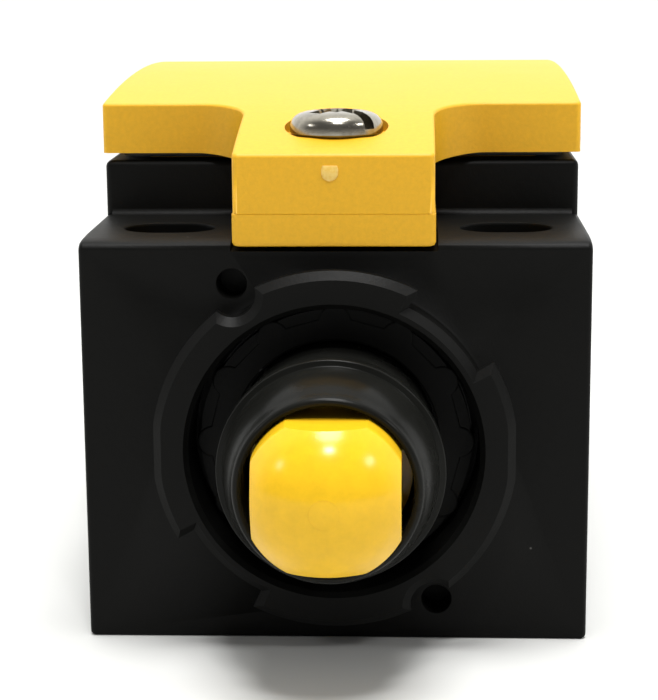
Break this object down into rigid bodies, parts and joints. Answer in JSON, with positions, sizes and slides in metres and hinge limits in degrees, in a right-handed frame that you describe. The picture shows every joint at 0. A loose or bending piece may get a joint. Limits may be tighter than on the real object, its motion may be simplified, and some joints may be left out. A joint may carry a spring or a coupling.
{
  "type": "limit switch",
  "caption": "Limit switch with a domed push plunger in a slim insulated housing, hinged cover, slotted ears, bayonet collar and rear cable entry.",
  "frame": {"origin": "middle of the housing's mounting face, half way along the housing's length", "axes": "+Z from the mounting face to the cover, +Y from the plunger to the cable entry, +X to the right when looking along +Y"},
  "size_m": [0.031, 0.0765, 0.0335],
  "materials": {
    "black_housing": "matt moulded glass-filled plastic",
    "yellow_cover": "fine spark-eroded moulded plastic",
    "yellow_plunger": "polished moulded plastic",
    "black_guide": "satin moulded plastic",
    "rubber": "soft rubber",
    "nickel_screw": "bright nickel plating",
    "steel": "zinc-plated steel",
    "brass": "bare brass",
    "contact_silver": "silver-plated copper",
    "contact_block": "moulded plastic",
    "carrier": "moulded plastic"
  },
  "bodies": {
    "housing": {"housing": "black_housing", "cover_screw_insert": "brass", "plunger_guide": "black_guide", "guide_ring": "black_guide", "guide_seal": "rubber", "spring_seat": "steel", "return_spring": "steel", "contact_block_base": "contact_block", "contact_block_cap": "contact_block", "terminal_nc_left": "brass", "terminal_nc_right": "brass", "terminal_no_left": "brass", "terminal_no_right": "brass", "clamp_plate_nc_left": "steel", "clamp_plate_nc_right": "steel", "clamp_plate_no_left": "steel", "clamp_plate_no_right": "steel", "clamp_screw_nc_left": "steel", "clamp_screw_nc_right": "steel", "clamp_screw_no_left": "steel", "clamp_screw_no_right": "steel", "block_screw_left": "steel", "block_screw_right": "steel"},
    "cover": {"cover": "yellow_cover", "cover_gasket": "rubber", "cover_screw": "nickel_screw", "cover_screw_washer": "rubber"},
    "plunger": {"plunger": "yellow_plunger", "plunger_seal": "rubber", "stem_clip": "steel"},
    "contact_carrier": {"contact_carrier": "carrier", "nc_bridge": "contact_silver", "nc_contact_spring": "steel", "no_contact_spring": "steel"},
    "no_bridge": {"no_bridge": "contact_silver"}
  },
  "joints": [
    {"name": "plunger_travel", "type": "slide", "parent": "housing", "child": "plunger", "axis": [0, 1, 0], "range_m": [0, 0.0045], "stiffness_N_per_m": 1100, "springref_m": -0.003, "deforming": ["return_spring"]},
    {"name": "carrier_travel", "type": "slide", "parent": "housing", "child": "contact_carrier", "axis": [0, 1, 0], "range_m": [0, 0.0045]},
    {"name": "no_bridge_lag", "type": "slide", "parent": "contact_carrier", "child": "no_bridge", "axis": [0, -1, 0], "range_m": [0, 0.0018], "deforming": ["no_contact_spring"]},
    {"name": "cover_hinge", "type": "hinge", "parent": "housing", "child": "cover", "pos_m": [0, 0.0294, 0.0268], "axis": [-1, 0, 0], "range_deg": [0, 100]}
  ],
  "couplings": [
    {"joint": "carrier_travel", "follows": "plunger_travel", "ratio": 1},
    {"joint": "no_bridge_lag", "follows": "plunger_travel", "ratio": 0.4}
  ]
}
